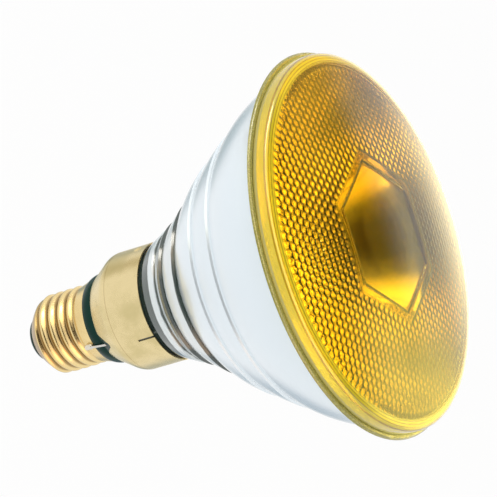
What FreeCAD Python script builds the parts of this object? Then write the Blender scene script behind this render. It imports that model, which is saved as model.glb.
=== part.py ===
import FreeCAD, Part
import math
import os
import re
import Sketcher
from FreeCAD import Vector

# Flood bulb: a pressed glass reflector lamp on a skirted screw cap.
# Z runs along the lamp's axis from the cap to the lens. The origin is the centre of the contact's end face.

doc = FreeCAD.newDocument("flood_bulb")

# Driving dimensions, in millimetres and degrees.
SIZES = {
    # Bowl
    "seam_land": 4.24,
    "bowl_front_length": 26.1,
    "flange_overhang": 2.0,
    "flange_depth": 3.0,
    "flange_edge_depth": 0.8,
    "flange_cove_radius": 8.0,
    "flange_edge_radius": 1.4,
    "bowl_wall": 3.0,
    "bowl_focal_length": 12.2,
    "bowl_standoff": 16.3,
    "bowl_bulge_radius": 48.0,
    "ring_groove_depth": 0.6,
    "ring_groove_width": 1.4,
    "bowl_step_depth": 0.25,
    "bowl_ring_low_rise": 13.2,
    "bowl_ring_high_rise": 10.8,
    # Neck
    "heel_ring_rise": 8.3,
    "neck_ring_low_rise": 8.2,
    "neck_ring_low_step": 4.2,
    "neck_ring_high_rise": 3.7,
    "neck_ring_high_step": 6.0,
    "neck_shoulder_step": 1.5,
    "neck_shoulder_rise": 1.3,
    "neck_shoulder_gap": 0.6,
    "neck_radius": 18.2,
    "neck_round": 1.5,
    "neck_standoff": 11.2,
    "neck_floor": 4.5,
    "neck_wall": 5.4,
    "exhaust_radius": 2.6,
    "exhaust_wall": 1.3,
    "exhaust_length": 7.5,
    # Lens
    "lens_wall": 3.2,
    "lens_rim_overhang": 0.4,
    "lens_rim_ease": 0.7,
    "lens_edge_radius": 0.9,
    "lens_rim_height": 3.8,
    "lens_shoulder_width": 2.5,
    "lens_shoulder_rise": 1.7,
    "lens_shoulder_radius": 2.4,
    "lens_dome_height": 6.8,
    "lens_bed_inset": 0.6,
    "window_corner_radius": 23.7,
    "window_boss_height": 1.8,
    "window_bevel_angle": 40.0,
    # Skirt
    "skirt_barrel_length": 12.9,
    "skirt_gap": 0.95,
    "skirt_sheet": 0.45,
    "skirt_bend_length": 2.7,
    "skirt_bend_radius": 5.0,
    "skirt_bend_step": 0.8,
    "skirt_cone_length": 6.0,
    "insulating_ring_step": 1.0,
    "insulating_ring_height": 3.9,
    "skirt_lip": 2.4,
    "slit_length": 6.0,
    "slit_width": 0.7,
    "notch_width": 7.6,
    "notch_length": 4.0,
    "notch_tip_radius": 1.2,
    "notch_tip_bulge": 1.25,
    "stake_radius": 2.6,
    "stake_depth": 0.5,
    "stake_setback": 3.2,
    "stake_turn": 101.0,
    "lead_turn": 28.0,
    "cement_setback": 0.9,
    "cement_length": 8.4,
    # Cap
    "shell_edge_height": 26.9,
    "shell_flare": 0.85,
    "shell_sheet": 0.3,
    "shell_end_radius": 7.7,
    "shell_end_height": 2.2,
    "thread_crest_radius": 13.15,
    "thread_depth": 1.05,
    "thread_pitch": 3.629,
    "thread_start_height": 7.2,
    "shell_edge_length": 4.7,
    "eyelet_wall": 0.4,
    "insulator_rise": 3.5,
    "insulator_foot_step": 1.6,
    "insulator_foot_bulge": 2.6,
    "contact_step": 1.2,
    "contact_sheet": 0.5,
    "contact_ease": 0.35,
    "eyelet_bore_radius": 1.2,
    "eyelet_length": 4.4,
    "solder_depth": 2.6,
    "solder_recess": 0.05,
    "ring_bore_step": 3.8,
    "ring_tongue": 2.4,
    "tongue_taper": 0.75,
    "ring_bulge_radius": 6.0,
    "lug_thickness": 1.6,
    # Inside
    "ferrule_spacing": 15.0,
    "ferrule_radius": 2.4,
    "ferrule_sheet": 0.4,
    "ferrule_overhang": 1.4,
    "ferrule_rise": 0.6,
    "post_radius": 0.8,
    "post_bend_radius": 1.8,
    "filament_length": 8.8,
    "filament_radius": 0.6,
    "filament_wire_radius": 0.15,
    "filament_turns": 9,
    "lead_radius": 0.4,
    "lead_bend_radius": 1.5,
    "side_lead_fall": 5.4,
    "contact_lead_fall": 7.4,
    "lead_centre_drop": 2.9,
    "lead_standoff": 0.15,
    "lead_lap": 2.4,
    "side_solder_length": 3.4,
    "side_solder_radius": 1.0,
    "solder_film": 0.06,
    "seat_gap": 0.02,
}

# Places that follow from the sizes: the pieces stack up from the contact, and widen from the shell and the neck.
FOLLOWING = {
    "shell_edge_radius": "thread_crest_radius + shell_flare",
    "thread_root_radius": "thread_crest_radius - thread_depth",
    "thread_end_height": "shell_edge_height - shell_edge_length",
    "insulator_bore_radius": "eyelet_bore_radius + eyelet_wall",
    "insulator_foot_radius": "shell_end_radius - insulator_foot_step",
    "contact_radius": "insulator_foot_radius - contact_step",
    "ring_bore_radius": "shell_edge_radius - ring_bore_step",
    "skirt_small_radius": "shell_edge_radius + insulating_ring_step",
    "skirt_small_height": "shell_edge_height + insulating_ring_height",
    "skirt_cone_height": "skirt_small_height + skirt_cone_length",
    "skirt_bend_height": "skirt_cone_height + skirt_bend_length",
    "skirt_front_height": "skirt_bend_height + skirt_barrel_length",
    "skirt_radius": "neck_radius + skirt_gap + skirt_sheet",
    "skirt_cone_radius": "skirt_radius - skirt_bend_step",
    "neck_base_height": "skirt_small_height + neck_standoff",
    "throat_radius": "neck_radius - neck_wall",
    "neck_shoulder_radius": "neck_radius + neck_shoulder_step",
    "neck_ring_low_radius": "neck_radius + neck_ring_low_step",
    "neck_ring_high_radius": "neck_radius + neck_ring_high_step",
    "neck_ring_low_height": "skirt_front_height + neck_ring_low_rise",
    "neck_ring_high_height": "neck_ring_low_height + neck_ring_high_rise",
    "heel_ring_height": "neck_ring_high_height + heel_ring_rise",
    "bowl_vertex_height": "neck_base_height + bowl_standoff",
    "bowl_ring_low_height": "heel_ring_height + bowl_ring_low_rise",
    "bowl_ring_high_height": "bowl_ring_low_height + bowl_ring_high_rise",
    "seam_height": "bowl_ring_high_height + bowl_front_length",
    "side_lead_fall_height": "neck_base_height - side_lead_fall",
    "contact_lead_fall_height": "neck_base_height - contact_lead_fall",
    "lead_centre_height": "shell_edge_height - lead_centre_drop",
}

sheet = doc.addObject("Spreadsheet::Sheet", "Dims")
NAMES = [*SIZES, *FOLLOWING]
for row, alias in enumerate(NAMES, start=1):
    sheet.set(f"A{row}", alias)
    sheet.setAlias(f"B{row}", alias)
for row, content in enumerate([*SIZES.values(), *("=" + formula for formula in FOLLOWING.values())], start=1):
    sheet.set(f"B{row}", str(content))
doc.recompute()


def bound(text):
    """Return a formula in which each size's name points at its cell in the sheet."""
    def cell(word):
        return f"Dims.{word[0]}" if word[0] in NAMES else word[0]

    return re.sub(r"[a-z_]+", cell, str(text))


def value(text):
    """Return what a formula on the sheet's sizes comes to."""
    return float(sheet.evalExpression(bound(text)))


def origin_plane(body, role):
    return next(feature for feature in body.Origin.OriginFeatures if feature.Role == role)


def new_body(label):
    body = doc.addObject("PartDesign::Body", label)
    body.Label = label
    return body


def new_sketch(body, name, role="XZ_Plane", height=None):
    """Add a sketch on one of the body's own origin planes, lifted off it where a height is given."""
    sketch = body.newObject("Sketcher::SketchObject", name)
    sketch.AttachmentSupport = [(origin_plane(body, role), "")]
    sketch.MapMode = "FlatFace"
    if height is not None:
        sketch.setExpression("AttachmentOffset.Base.z", bound(height))
    doc.recompute()
    return sketch


def fix_across(sketch, geometry, position, formula):
    """Tie a point's distance across from the origin to a formula on the sizes."""
    index = sketch.addConstraint(Sketcher.Constraint("DistanceX", -1, 1, geometry, position, value(formula)))
    sketch.setExpression(f"Constraints[{index}]", bound(formula))


def fix_up(sketch, geometry, position, formula):
    """Tie a point's height over the origin to a formula on the sizes."""
    index = sketch.addConstraint(Sketcher.Constraint("DistanceY", -1, 1, geometry, position, value(formula)))
    sketch.setExpression(f"Constraints[{index}]", bound(formula))


def fix_radius(sketch, geometry, formula):
    index = sketch.addConstraint(Sketcher.Constraint("Radius", geometry, value(formula)))
    sketch.setExpression(f"Constraints[{index}]", bound(formula))


def draw_circle(sketch, across, up, radius):
    centre = Vector(value(across), value(up), 0)
    index = sketch.addGeometry(Part.Circle(centre, Vector(0, 0, 1), value(radius)), False)
    fix_across(sketch, index, 3, across)
    fix_up(sketch, index, 3, up)
    fix_radius(sketch, index, radius)


def make_arc(start, end, radius):
    """Make an arc that bulges to the right of the way along, or to the left where radius is negative."""
    chord = end - start
    rise = math.sqrt(radius ** 2 - (chord.Length / 2) ** 2)
    side = Vector(-chord.y, chord.x, 0).normalize() * math.copysign(rise, radius)
    centre = (start + end) * 0.5 + side
    first, last = (start, end) if radius > 0 else (end, start)
    angles = [math.atan2(point.y - centre.y, point.x - centre.x) for point in (first, last)]
    if angles[1] < angles[0]:
        angles[1] += 2 * math.pi
    return Part.ArcOfCircle(Part.Circle(centre, Vector(0, 0, 1), abs(radius)), *angles)


def end_positions(sketch, index, start):
    """Return which of a side's two ends lies at its start and which at its end."""
    side = sketch.Geometry[index]
    starts_there = side.StartPoint.distanceToPoint(start) < side.EndPoint.distanceToPoint(start)
    return (1, 2) if starts_there else (2, 1)


def draw_outline(sketch, corners):
    """Draw a closed outline of lines and arcs, fully tied to the sizes.

    Each corner is (across, up), or (across, up, radius) where an arc leaves it for the next corner:
    the arc bulges to the right of the way along, or to the left where radius starts with a minus.
    """
    points = [Vector(value(corner[0]), value(corner[1]), 0) for corner in corners]
    count = len(corners)
    shapes = [corner[2] if len(corner) == 3 else None for corner in corners]
    for index, shape in enumerate(shapes):
        start = points[index]
        end = points[(index + 1) % count]
        if shape is None:
            side = Part.LineSegment(start, end)
        else:
            side = make_arc(start, end, value(shape))
        sketch.addGeometry(side, False)
    positions = [end_positions(sketch, index, points[index]) for index in range(count)]
    for index, corner in enumerate(corners):
        following = (index + 1) % count
        here = (index, positions[index][1])
        there = (following, positions[following][0])
        sketch.addConstraint(Sketcher.Constraint("Coincident", *here, *there))
        fix_across(sketch, index, positions[index][0], corner[0])
        fix_up(sketch, index, positions[index][0], corner[1])
        if shapes[index] is not None:
            fix_radius(sketch, index, shapes[index].lstrip("-"))
    doc.recompute()


def revolve(body, sketch):
    feature = body.newObject("PartDesign::Revolution", sketch.Name + "_turned")
    feature.Profile = sketch
    feature.ReferenceAxis = (sketch, ["V_Axis"])
    feature.Angle = 360.0
    sketch.Visibility = False
    doc.recompute()
    return feature


def turned_body(label, corners):
    """Make a body turned about the lamp's axis from an outline in the plane of the axis."""
    body = new_body(label)
    sketch = new_sketch(body, label + "_outline")
    draw_outline(sketch, corners)
    revolve(body, sketch)
    return body


def add_pocket(body, sketch, length, midplane=False, reverse=False):
    feature = body.newObject("PartDesign::Pocket", sketch.Name + "_cut")
    feature.Profile = sketch
    feature.setExpression("Length", bound(length))
    feature.Midplane = midplane
    feature.Reversed = reverse
    doc.recompute()
    return feature


def add_pad(body, sketch, length, reverse=False):
    feature = body.newObject("PartDesign::Pad", sketch.Name + "_pad")
    feature.Profile = sketch
    feature.setExpression("Length", bound(length))
    feature.Reversed = reverse
    doc.recompute()
    return feature


def turn_to_lead(piece):
    """Turn a piece about the axis to where the side lead comes out."""
    piece.Placement.Rotation = FreeCAD.Rotation(Vector(0, 0, 1), 0)
    piece.setExpression("Placement.Rotation.Angle", bound("lead_turn"))
    return piece


def boolean(kind, label, base, tool):
    feature = doc.addObject(kind, label)
    feature.Label = label
    feature.Base = base
    feature.Tool = tool
    doc.recompute()
    return feature


# Reflector: pressed glass bowl, mirrored inside, with its neck, its throat and its sealed exhaust tip.
def bowl_inside(height):
    return f"sqrt(4 * bowl_focal_length * ({height} - bowl_vertex_height))"


def bowl_outside(height):
    return f"{bowl_inside(height)} + bowl_wall"


SEAT_RADIUS = bowl_inside("seam_height")
SEAM_RADIUS = f"({SEAT_RADIUS} + seam_land)"
MIRROR_ARCS = 4
NECK_SHOULDER = "skirt_front_height + neck_shoulder_gap"
FLOOR_HEIGHT = "neck_base_height + neck_floor"
FLANGE_HEIGHT = "(seam_height - flange_depth)"


def mirror_curve():
    """Follow the mirror's parabola from the seat down to the throat in arcs of its own curvature."""
    def reach(step):
        return f"({SEAT_RADIUS} + (throat_radius - {SEAT_RADIUS}) * {step} / {MIRROR_ARCS})"

    corners = []
    for step in range(MIRROR_ARCS + 1):
        radius = reach(step)
        corner = (radius, f"bowl_vertex_height + {radius} * {radius} / (4 * bowl_focal_length)")
        if step < MIRROR_ARCS:
            slope = f"({reach(step + 0.5)} / (2 * bowl_focal_length))"
            corner += (f"-(2 * bowl_focal_length * (1 + {slope} * {slope}) ^ 1.5)",)
        corners.append(corner)
    return corners


def ring_groove(height, radius, depth, width="ring_groove_width"):
    """Give the three corners of a groove between two pressed bands; the next band bulges from the last."""
    return [
        (radius, f"{height} - {width} / 2"),
        (f"{radius} - {depth}", height),
        (radius, f"{height} + {width} / 2", "bowl_bulge_radius"),
    ]


reflector = new_body("reflector")
reflector_outline = new_sketch(reflector, "reflector_outline")
outside = [
    ("neck_radius - neck_round", "neck_base_height", "neck_round"),
    ("neck_radius", "neck_base_height + neck_round"),
    ("neck_radius", NECK_SHOULDER),
    ("neck_shoulder_radius", f"{NECK_SHOULDER} + neck_shoulder_rise", "bowl_bulge_radius"),
]
outside += ring_groove("neck_ring_low_height", "neck_ring_low_radius", "ring_groove_depth")
outside += ring_groove("neck_ring_high_height", "neck_ring_high_radius", "ring_groove_depth")
outside += ring_groove("heel_ring_height", bowl_outside("heel_ring_height"), "ring_groove_depth")
for ring in ("bowl_ring_low_height", "bowl_ring_high_height"):
    outside += ring_groove(ring, bowl_outside(ring), "bowl_step_depth")
outside += [
    (bowl_outside(FLANGE_HEIGHT), FLANGE_HEIGHT, "-flange_cove_radius"),
    (f"{SEAM_RADIUS} + flange_overhang", "seam_height - flange_edge_depth", "flange_edge_radius"),
    (SEAM_RADIUS, "seam_height"),
]
inside = mirror_curve() + [
    ("throat_radius", FLOOR_HEIGHT),
    ("exhaust_radius - exhaust_wall", FLOOR_HEIGHT),
    ("exhaust_radius - exhaust_wall", "neck_base_height - exhaust_length + exhaust_radius"),
    ("0", "neck_base_height - exhaust_length + exhaust_radius"),
    ("0", "neck_base_height - exhaust_length", "exhaust_radius"),
    ("exhaust_radius", "neck_base_height - exhaust_length + exhaust_radius"),
    ("exhaust_radius", "neck_base_height"),
]
draw_outline(reflector_outline, outside + inside)
revolve(reflector, reflector_outline)
turn_to_lead(reflector)

# Two holes in the floor of the neck take the ferrules, one on each side of the exhaust tube.
ferrule_holes = new_sketch(reflector, "ferrule_holes", "XY_Plane", f"{FLOOR_HEIGHT} + ferrule_rise")
for side in (-1, 1):
    draw_circle(ferrule_holes, "0", f"{side} * ferrule_spacing / 2", "ferrule_radius")
doc.recompute()
add_pocket(reflector, ferrule_holes, "neck_floor + 2 * ferrule_rise")

# Lens: pressed glass, smooth outside, with a plain raised hexagon inside.
LENS_SHOULDER = "(seam_height + lens_rim_height + lens_shoulder_rise)"
LENS_TOP = f"({LENS_SHOULDER} + lens_dome_height)"
LENS_RIM_RADIUS = f"({SEAM_RADIUS} + lens_rim_overhang)"
DOME_REACH = f"({LENS_RIM_RADIUS} - lens_shoulder_width)"
DOME_SQUARES = f"({DOME_REACH} * {DOME_REACH} + lens_dome_height * lens_dome_height)"
DOME_RADIUS = f"({DOME_SQUARES} / (2 * lens_dome_height))"
BED_RADIUS = f"({SEAT_RADIUS} + lens_bed_inset)"
BED_DOME = f"({DOME_RADIUS} - lens_wall)"
BED_RISE = f"sqrt({BED_DOME} * {BED_DOME} - {BED_RADIUS} * {BED_RADIUS})"
BED_HEIGHT = f"({LENS_TOP} - {DOME_RADIUS} + {BED_RISE})"
lens = turned_body("lens", [
    (SEAT_RADIUS, "seam_height"),
    (SEAM_RADIUS, "seam_height", "lens_edge_radius"),
    (LENS_RIM_RADIUS, "seam_height + lens_rim_ease"),
    (LENS_RIM_RADIUS, "seam_height + lens_rim_height", "lens_shoulder_radius"),
    (DOME_REACH, LENS_SHOULDER, DOME_RADIUS),
    ("0", LENS_TOP),
    ("0", f"{LENS_TOP} - lens_wall", f"-{BED_DOME}"),
    (BED_RADIUS, BED_HEIGHT),
])
window = new_sketch(lens, "window", "XY_Plane", f"{LENS_TOP} - lens_wall - window_boss_height")
half_corner = "window_corner_radius / 2"
flat = "window_corner_radius * sqrt(3) / 2"
draw_outline(window, [
    ("window_corner_radius", "0"),
    (half_corner, flat),
    (f"-{half_corner}", flat),
    ("-window_corner_radius", "0"),
    (f"-{half_corner}", f"-{flat}"),
    (half_corner, f"-{flat}"),
])
boss = add_pad(lens, window, "window_boss_height + lens_wall / 3")
boss.setExpression("TaperAngle", bound("window_bevel_angle"))
doc.recompute()

# Skirt: satin brass sheet, spun to a cone with a lip at its small end.
skirt_sheet_metal = turned_body("skirt_sheet_metal", [
    ("skirt_small_radius - skirt_lip", "skirt_small_height"),
    ("skirt_small_radius", "skirt_small_height"),
    ("skirt_cone_radius", "skirt_cone_height", "skirt_bend_radius"),
    ("skirt_radius", "skirt_bend_height"),
    ("skirt_radius", "skirt_front_height"),
    ("skirt_radius - skirt_sheet", "skirt_front_height"),
    ("skirt_radius - skirt_sheet", "skirt_bend_height", "-(skirt_bend_radius - skirt_sheet)"),
    ("skirt_cone_radius - skirt_sheet", "skirt_cone_height + skirt_sheet / 4"),
    ("skirt_small_radius - skirt_sheet", "skirt_small_height + skirt_sheet"),
    ("skirt_small_radius - skirt_lip", "skirt_small_height + skirt_sheet"),
])

# Two slits at the front let the skirt close on the neck, and a notch at the small end lets the side lead out.
slits = new_sketch(skirt_sheet_metal, "slits")
draw_outline(slits, [
    ("-slit_width / 2", "skirt_front_height - slit_length"),
    ("slit_width / 2", "skirt_front_height - slit_length"),
    ("slit_width / 2", "skirt_front_height + slit_width"),
    ("-slit_width / 2", "skirt_front_height + slit_width"),
])
doc.recompute()
add_pocket(skirt_sheet_metal, slits, "3 * skirt_radius", midplane=True)


NOTCH_SHOULDER = "skirt_small_height + notch_length - notch_tip_radius"


def draw_notch(body, name):
    """Sketch the notch: a wide foot at the skirt's small end that runs up to a round tip."""
    sketch = new_sketch(body, name)
    draw_outline(sketch, [
        ("-notch_width / 2", "skirt_small_height"),
        ("notch_width / 2", "skirt_small_height"),
        ("notch_tip_radius", NOTCH_SHOULDER, "notch_tip_bulge"),
        ("-notch_tip_radius", NOTCH_SHOULDER),
    ])
    doc.recompute()
    return sketch


add_pocket(skirt_sheet_metal, draw_notch(skirt_sheet_metal, "notch"), "skirt_radius", reverse=True)

# Staked dimples lock the skirt to the cement: each is a dent outside and a bump inside.
STAKE_REACH = "skirt_radius + stake_radius - stake_depth"


def stake_balls(label, radius):
    """Make a pair of balls that sit opposite each other, half out of the skirt, where it is staked."""
    balls = []
    for side in (0, 180):
        ball = doc.addObject("Part::Sphere", f"{label}_{side}")
        ball.setExpression("Radius", bound(radius))
        turn = f"(270 + {side} - stake_turn)"
        ball.setExpression("Placement.Base.x", bound(f"({STAKE_REACH}) * cos({turn} * 1 deg)"))
        ball.setExpression("Placement.Base.y", bound(f"({STAKE_REACH}) * sin({turn} * 1 deg)"))
        ball.setExpression("Placement.Base.z", bound("skirt_front_height - stake_setback"))
        balls.append(ball)
    pair = doc.addObject("Part::MultiFuse", label)
    pair.Shapes = balls
    doc.recompute()
    return pair


stake_dents = stake_balls("stake_dents", "stake_radius")
stake_bumps = stake_balls("stake_bumps", "stake_radius + skirt_sheet")
stake_limit = doc.addObject("Part::Cylinder", "stake_limit")
stake_limit.setExpression("Radius", bound("skirt_radius"))
stake_limit.setExpression("Height", bound("skirt_front_height"))
stake_walls = boolean("Part::Common", "stake_walls", stake_bumps, stake_limit)
skirt_with_bumps = boolean("Part::Fuse", "skirt_with_bumps", skirt_sheet_metal, stake_walls)
skirt = turn_to_lead(boolean("Part::Cut", "skirt", skirt_with_bumps, stake_dents))

# Cement holds the skirt to the glass neck.
cement_ring = turned_body("cement_ring", [
    ("neck_radius", "skirt_front_height - cement_setback - cement_length"),
    ("skirt_radius - skirt_sheet", "skirt_front_height - cement_setback - cement_length"),
    ("skirt_radius - skirt_sheet", "skirt_front_height - cement_setback"),
    ("neck_radius", "skirt_front_height - cement_setback"),
])
skirt_cement = turn_to_lead(boolean("Part::Cut", "skirt_cement", cement_ring, stake_bumps))

# Screw shell: thin brass rolled to a knuckle thread, with a rounded end and a flared edge.
SHELL_STEPS = 16
SHELL_ROWS_PER_PITCH = 8
END_BULGE = 0.3
THREAD_MEAN = 0.5 * (value("thread_crest_radius") + value("thread_root_radius"))
THREAD_RISE = 0.5 * (value("thread_crest_radius") - value("thread_root_radius"))


def shell_radius(height):
    """Return the shell's mean outside radius: a round end, a straight thread and a flare."""
    if height < value("thread_start_height"):
        end = value("shell_end_height")
        along = (height - end) / (value("thread_start_height") - end)
        rounded = along * (1 + END_BULGE * (1 - along))
        return value("shell_end_radius") + (THREAD_MEAN - value("shell_end_radius")) * rounded
    if height < value("thread_end_height"):
        return THREAD_MEAN
    finish = value("thread_end_height")
    along = (height - finish) / (value("shell_edge_height") - finish)
    return THREAD_MEAN + (value("shell_edge_radius") - THREAD_MEAN) * along


def thread_strength(height):
    """Return 1 along the thread, fading to 0 over half a pitch beyond each end."""
    fade = value("thread_pitch") / 2
    outside_by = max(value("thread_start_height") - height, height - value("thread_end_height"), -fade)
    return 0.5 - 0.5 * math.sin(math.pi / 2 * min(1.0, outside_by / fade))


def shell_wall(inset, threaded):
    """Make one skin of the shell: rolled along a helix, or plain inside the thread's roots."""
    bottom = value("shell_end_height")
    top = value("shell_edge_height")
    pitch = value("thread_pitch")
    rows = round(SHELL_ROWS_PER_PITCH * (top - bottom) / pitch)
    grid = []
    for turn_step in range(SHELL_STEPS + 1):
        angle = 2 * math.pi * turn_step / SHELL_STEPS
        column = []
        for row_step in range(rows + 1):
            height = bottom + (top - bottom) * row_step / rows
            wave = math.cos(2 * math.pi * height / pitch - angle) if threaded else -1.0
            radius = shell_radius(height) + THREAD_RISE * thread_strength(height) * wave - inset
            column.append(Vector(radius * math.cos(angle), radius * math.sin(angle), height))
        grid.append(column)
    surface = Part.BSplineSurface()
    surface.interpolate(grid)
    return surface.toShape()


def rim_edges(wall):
    """Return a wall's lower and upper round edges."""
    rims = [edge for edge in wall.Edges if edge.BoundBox.ZLength < 0.5 * value("thread_pitch")]
    rims.sort(key=lambda edge: edge.CenterOfMass.z)
    return rims[0], rims[-1]


outer_wall = shell_wall(0.0, threaded=True)
inner_wall = shell_wall(value("shell_sheet"), threaded=False)
rim_pairs = zip(rim_edges(outer_wall), rim_edges(inner_wall))
rims = [Part.makeRuledSurface(outer, inner) for outer, inner in rim_pairs]
skin = Part.makeShell([outer_wall, inner_wall] + rims)
skin.sewShape()
screw_shell = doc.addObject("Part::Feature", "screw_shell")
screw_shell.Label = "screw_shell"
solid = Part.makeSolid(skin)
if solid.Volume < 0:
    solid.reverse()
screw_shell.Shape = solid

# Black glass in the end of the shell, flush with its edge, carries the contact.
SHELL_BORE = "(shell_end_radius - shell_sheet - seat_gap)"
EYELET_TUBE = "(insulator_bore_radius - seat_gap)"
cap_insulator = turn_to_lead(turned_body("cap_insulator", [
    ("insulator_bore_radius", "contact_sheet"),
    ("insulator_foot_radius", "contact_sheet", "insulator_foot_bulge"),
    ("shell_end_radius", "shell_end_height - seat_gap"),
    (SHELL_BORE, "shell_end_height - seat_gap"),
    (f"{SHELL_BORE} + insulator_rise", "shell_end_height + insulator_rise"),
    ("insulator_bore_radius", "shell_end_height + insulator_rise"),
]))
centre_contact = turn_to_lead(turned_body("centre_contact", [
    ("eyelet_bore_radius", "0"),
    ("contact_radius - contact_ease", "0", "contact_ease"),
    ("contact_radius", "contact_ease"),
    ("contact_radius", "contact_sheet"),
    (EYELET_TUBE, "contact_sheet"),
    (EYELET_TUBE, "eyelet_length"),
    ("eyelet_bore_radius", "eyelet_length"),
]))
contact_solder = turn_to_lead(turned_body("contact_solder", [
    ("0", "solder_recess"),
    ("eyelet_bore_radius", "solder_recess"),
    ("eyelet_bore_radius", "solder_recess + solder_depth"),
    ("lead_radius", "solder_recess + solder_depth"),
    ("lead_radius", "2 * solder_recess + lead_radius"),
    ("0", "2 * solder_recess + lead_radius"),
]))

# Dark glass ring between shell and skirt, with a tongue inside the shell.
COLLAR_BORE = "(shell_edge_radius - shell_sheet)"
ring_body = turned_body("ring_body", [
    ("ring_bore_radius", "shell_edge_height - ring_tongue"),
    (f"{COLLAR_BORE} - tongue_taper", "shell_edge_height - ring_tongue"),
    (f"{COLLAR_BORE} - seat_gap", "shell_edge_height"),
    ("shell_edge_radius", "shell_edge_height", "ring_bulge_radius"),
    ("skirt_small_radius", "skirt_small_height"),
    ("ring_bore_radius", "skirt_small_height"),
])

# The same glass fills the skirt's notch, flush with the cone.
CONE_SLOPE = "((skirt_cone_radius - skirt_small_radius) / (skirt_cone_height - skirt_small_height))"
NOTCH_TOP = "skirt_small_height + notch_length + notch_tip_radius"
NOTCH_TOP_RADIUS = f"skirt_small_radius + (notch_length + notch_tip_radius) * {CONE_SLOPE}"
lug_wall = turned_body("lug_wall", [
    ("skirt_small_radius - lug_thickness", "skirt_small_height"),
    ("skirt_small_radius", "skirt_small_height"),
    (NOTCH_TOP_RADIUS, NOTCH_TOP),
    (f"{NOTCH_TOP_RADIUS} - lug_thickness", NOTCH_TOP),
])
lug_prism = new_body("lug_prism")
add_pad(lug_prism, draw_notch(lug_prism, "lug_outline"), "skirt_radius")
lug = boolean("Part::Common", "lug", lug_wall, lug_prism)
ring_with_lug = boolean("Part::Fuse", "ring_with_lug", ring_body, lug)


def wire(label, radius, points):
    """Bend a wire through points in the upright plane of the leads, from its top end down."""
    body = new_body(label)
    path = new_sketch(body, label + "_path", "YZ_Plane")
    draw_path(path, points)
    section = new_sketch(body, label + "_section", "XY_Plane", points[0][1])
    draw_circle(section, "0", points[0][0], radius)
    pipe = body.newObject("PartDesign::AdditivePipe", label + "_pipe")
    pipe.Profile = section
    pipe.Spine = (path, [])
    doc.recompute()
    return body


def draw_path(sketch, points):
    """Draw an open path of straight runs, rounded where a point gives (across, up, bend radius)."""
    corners = [Vector(value(point[0]), value(point[1]), 0) for point in points]
    runs = []
    start = corners[0]
    for index in range(1, len(corners)):
        corner = corners[index]
        if index == len(corners) - 1:
            runs.append(Part.LineSegment(start, corner))
            break
        before = (corner - start).normalize()
        after = (corners[index + 1] - corner).normalize()
        radius = value(points[index][2])
        half_turn = before.getAngle(after) / 2
        setback = radius * math.tan(half_turn)
        arc_start = corner - before * setback
        arc_end = corner + after * setback
        middle = corner + (after - before).normalize() * (radius / math.cos(half_turn) - radius)
        runs.append(Part.LineSegment(start, arc_start))
        runs.append(Part.Arc(arc_start, middle, arc_end))
        start = arc_end
    sketch.addGeometry(runs, False)
    sketch.addConstraint([Sketcher.Constraint("Block", index) for index in range(len(runs))])
    doc.recompute()


# Ferrules: two metal cups sealed through the floor of the neck, closed at the top.
FERRULE_TOP = f"({FLOOR_HEIGHT} + ferrule_rise)"
FERRULE_FOOT = "neck_base_height - ferrule_overhang"
LEAD_TOP = f"{FERRULE_TOP} - ferrule_sheet"


def mirrored_pair(label, piece):
    """Make a pair of a piece and its twin across the lamp's axis."""
    twin = doc.addObject("Part::Mirroring", label + "_twin")
    twin.Source = piece
    twin.Normal = (0, 1, 0)
    pair = doc.addObject("Part::Compound", label)
    pair.Label = label
    pair.Links = [piece, twin]
    doc.recompute()
    return turn_to_lead(pair)


ferrule = turned_body("ferrule", [
    ("ferrule_radius - ferrule_sheet", FERRULE_FOOT),
    ("ferrule_radius", FERRULE_FOOT),
    ("ferrule_radius", FERRULE_TOP),
    ("0", FERRULE_TOP),
    ("0", LEAD_TOP),
    ("ferrule_radius - ferrule_sheet", LEAD_TOP),
])
ferrule.setExpression("Placement.Base.y", bound("-ferrule_spacing / 2"))
doc.recompute()
lead_ferrules = mirrored_pair("lead_ferrules", ferrule)

# Posts: stiff wires from the ferrules up to the bowl's focus, bent in to hold the filament.
FOCUS_HEIGHT = "(bowl_vertex_height + bowl_focal_length)"
post = wire("post", "post_radius", [
    ("-ferrule_spacing / 2", FERRULE_TOP),
    ("-ferrule_spacing / 2", FOCUS_HEIGHT, "post_bend_radius"),
    ("-filament_length / 2", FOCUS_HEIGHT),
])
lead_posts = mirrored_pair("lead_posts", post)

# Filament: a coil of tungsten between the ends of the posts.
helix = doc.addObject("Part::Helix", "filament_path")
helix.setExpression("Pitch", bound("filament_length / filament_turns"))
helix.setExpression("Height", bound("filament_length"))
helix.setExpression("Radius", bound("filament_radius"))
section = doc.addObject("Part::Circle", "filament_section")
section.setExpression("Radius", bound("filament_wire_radius"))
section.setExpression("Placement.Base.x", bound("filament_radius"))
section.Placement.Rotation = FreeCAD.Rotation(Vector(1, 0, 0), 90)
doc.recompute()
filament = doc.addObject("Part::Sweep", "filament")
filament.Label = "filament"
filament.Sections = [section]
filament.Spine = (helix, ["Edge1"])
filament.Solid = True
filament.Frenet = True
filament.Placement.Rotation = FreeCAD.Rotation(Vector(0, 0, 1), value("lead_turn")) * FreeCAD.Rotation(
    Vector(1, 0, 0), -90
)
filament.setExpression("Placement.Base.z", bound(FOCUS_HEIGHT))
filament.setExpression("Placement.Base.x", bound("filament_length / 2 * sin(lead_turn * 1 deg)"))
filament.setExpression("Placement.Base.y", bound("-filament_length / 2 * cos(lead_turn * 1 deg)"))
doc.recompute()

# Contact lead: from one ferrule down the axis into the contact's solder.
contact_lead = turn_to_lead(wire("contact_lead", "lead_radius", [
    ("ferrule_spacing / 2", LEAD_TOP),
    ("ferrule_spacing / 2", "contact_lead_fall_height", "lead_bend_radius * 2"),
    ("0", "lead_centre_height", "lead_bend_radius * 2"),
    ("0", "2 * solder_recess + lead_radius"),
]))

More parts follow.
